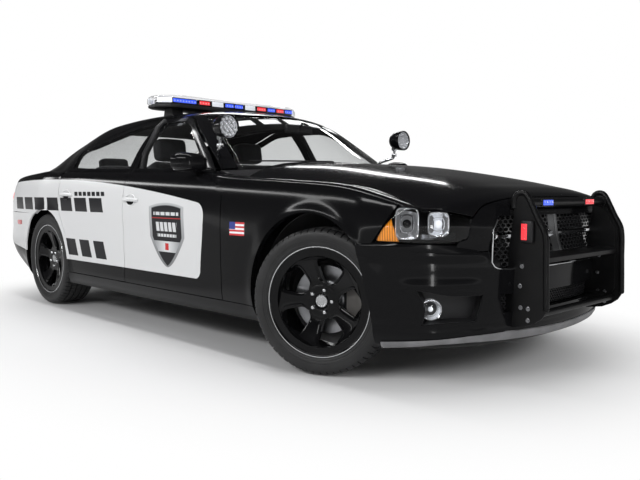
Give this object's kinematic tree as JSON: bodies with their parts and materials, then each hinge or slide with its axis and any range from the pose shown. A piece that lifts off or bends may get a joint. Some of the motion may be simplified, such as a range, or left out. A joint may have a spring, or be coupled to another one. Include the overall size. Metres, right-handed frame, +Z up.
{
  "type": "police patrol car",
  "caption": "Large four-door patrol sedan with hollow cabin, opening doors, hood and trunk lid, steered wheels, push bumper, roof light bar and pillar spotlamps.",
  "frame": {"origin": "on the ground under the middle of the car's overall length and width", "axes": "+X forward, +Y to the car's left, +Z up"},
  "size_m": [5.1718, 2.08, 1.5725],
  "materials": {
    "fabric": "dark grey cloth",
    "glass": "clear",
    "iron": "rough",
    "lamp": "clear lens",
    "paint_black": "gloss black paint",
    "paint_door": "white door wrap over black paint",
    "red_lamp": "red lens",
    "rim": "gloss black with chrome lugs",
    "steel": "satin",
    "trim": "satin black plastic",
    "tyre": "black rubber",
    "under": "satin undercoat"
  },
  "bodies": {
    "body": {"centre_posts": "under", "cowl_panel": "trim", "dashboard": "trim", "engine_block": "iron", "exhaust": "steel", "fenders": "paint_black", "floor_pan": "under", "fog_lamps": "lamp", "front_bumper": "paint_black", "front_seats": "fabric", "front_suspension": "under", "grilles": "trim", "guard_lamps": "lamp", "headlamps": "lamp", "light_bar": "lamp", "light_bar_base": "trim", "push_bumper": "trim", "rear_bumper": "paint_black", "rear_seat": "fabric", "rear_shelf": "paint_black", "rear_suspension": "under", "rear_window": "glass", "roof_panel": "paint_black", "side_frames": "paint_black", "spotlamp_posts": "trim", "tail_lamps": "red_lamp", "wheel_houses": "under", "windshield": "glass"},
    "front_door_left": {"front_door_left": "paint_door", "front_door_glass_left": "glass", "mirror_left": "paint_black"},
    "rear_door_left": {"rear_door_left": "paint_door", "rear_door_glass_left": "glass"},
    "knuckle_left": {"knuckle_left": "steel"},
    "front_wheel_left": {"front_tyre_left": "tyre", "front_rim_left": "rim"},
    "rear_wheel_left": {"rear_tyre_left": "tyre", "rear_rim_left": "rim"},
    "spotlamp_left": {"spotlamp_left": "trim"},
    "front_door_right": {"front_door_right": "paint_door", "front_door_glass_right": "glass", "mirror_right": "paint_black"},
    "rear_door_right": {"rear_door_right": "paint_door", "rear_door_glass_right": "glass"},
    "knuckle_right": {"knuckle_right": "steel"},
    "front_wheel_right": {"front_tyre_right": "tyre", "front_rim_right": "rim"},
    "rear_wheel_right": {"rear_tyre_right": "tyre", "rear_rim_right": "rim"},
    "spotlamp_right": {"spotlamp_right": "trim"},
    "hood": {"hood": "paint_black"},
    "trunk_lid": {"trunk_lid": "paint_black", "tail_lamp_strip": "red_lamp"},
    "steering_wheel": {"steering_wheel": "trim"}
  },
  "joints": [
    {"name": "front_door_left_hinge", "type": "hinge", "parent": "body", "child": "front_door_left", "pos_m": [0.812, 0.925, 0.62], "axis": [0, 0, -1], "range_deg": [0, 65]},
    {"name": "rear_door_left_hinge", "type": "hinge", "parent": "body", "child": "rear_door_left", "pos_m": [-0.288, 0.925, 0.62], "axis": [0, 0, -1], "range_deg": [0, 65]},
    {"name": "front_door_right_hinge", "type": "hinge", "parent": "body", "child": "front_door_right", "pos_m": [0.812, -0.925, 0.62], "axis": [0, 0, 1], "range_deg": [0, 65]},
    {"name": "rear_door_right_hinge", "type": "hinge", "parent": "body", "child": "rear_door_right", "pos_m": [-0.288, -0.925, 0.62], "axis": [0, 0, 1], "range_deg": [0, 65]},
    {"name": "knuckle_left_steer", "type": "hinge", "parent": "body", "child": "knuckle_left", "pos_m": [1.616, 0.806, 0.362], "axis": [0, 0, 1], "range_deg": [-56, 14]},
    {"name": "knuckle_right_steer", "type": "hinge", "parent": "body", "child": "knuckle_right", "pos_m": [1.616, -0.806, 0.362], "axis": [0, 0, 1], "range_deg": [-56, 14]},
    {"name": "front_wheel_left_spin", "type": "hinge", "parent": "knuckle_left", "child": "front_wheel_left", "pos_m": [1.616, 0.806, 0.362], "axis": [-0.3584, 0.9336, 0], "continuous": true},
    {"name": "rear_wheel_left_spin", "type": "hinge", "parent": "body", "child": "rear_wheel_left", "pos_m": [-1.436, 0.806, 0.362], "axis": [0, 1, 0], "continuous": true},
    {"name": "front_wheel_right_spin", "type": "hinge", "parent": "knuckle_right", "child": "front_wheel_right", "pos_m": [1.616, -0.806, 0.362], "axis": [-0.3584, 0.9336, 0], "continuous": true},
    {"name": "rear_wheel_right_spin", "type": "hinge", "parent": "body", "child": "rear_wheel_right", "pos_m": [-1.436, -0.806, 0.362], "axis": [0, 1, 0], "continuous": true},
    {"name": "steering_wheel_turn", "type": "hinge", "parent": "body", "child": "steering_wheel", "pos_m": [0.376, 0.37, 0.94], "axis": [-0.9063, 0, 0.4226], "range_deg": [-784, 196]},
    {"name": "hood_hinge", "type": "hinge", "parent": "body", "child": "hood", "pos_m": [0.96, 0, 1.045], "axis": [0, -1, 0], "range_deg": [0, 50]},
    {"name": "trunk_lid_hinge", "type": "hinge", "parent": "body", "child": "trunk_lid", "pos_m": [-2.093, 0, 1.052], "axis": [0, 1, 0], "range_deg": [0, 70]},
    {"name": "spotlamp_left_swivel", "type": "hinge", "parent": "body", "child": "spotlamp_left", "pos_m": [0.714, 0.792, 1.2], "axis": [0, 0, 1], "range_deg": [-60, 60]},
    {"name": "spotlamp_right_swivel", "type": "hinge", "parent": "body", "child": "spotlamp_right", "pos_m": [0.714, -0.792, 1.2], "axis": [0, 0, 1], "range_deg": [-60, 60]}
  ],
  "couplings": [
    {"joint": "knuckle_right_steer", "follows": "knuckle_left_steer", "ratio": 1},
    {"joint": "steering_wheel_turn", "follows": "knuckle_left_steer", "ratio": 14}
  ]
}
